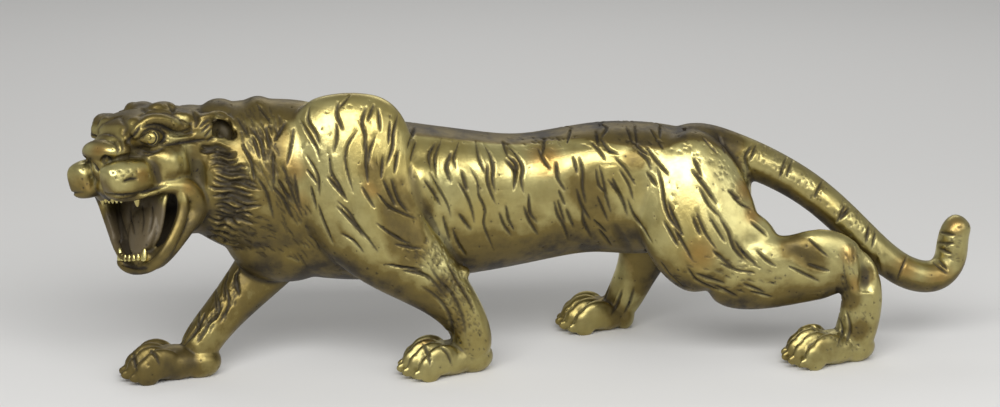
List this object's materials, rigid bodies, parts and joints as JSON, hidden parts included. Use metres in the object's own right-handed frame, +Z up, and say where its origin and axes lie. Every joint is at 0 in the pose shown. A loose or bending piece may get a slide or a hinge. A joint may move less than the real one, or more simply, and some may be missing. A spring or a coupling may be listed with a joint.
{
  "type": "tiger figurine",
  "caption": "Stalking tiger figurine cast in polished brass, striding with its head turned and mouth open, for display on a shelf or desk.",
  "frame": {"origin": "middle of the bounding box in plan, on the plane of the paw soles", "axes": "+X from the head towards the tail, +Y towards the tiger's right side, +Z up"},
  "size_m": [0.3564, 0.0826, 0.1123],
  "materials": {
    "brass": "polished brass with dark brown patina left in the chased stripes, fur and mouth"
  },
  "bodies": {
    "root": {"tiger_casting": "brass"}
  },
  "joints": []
}
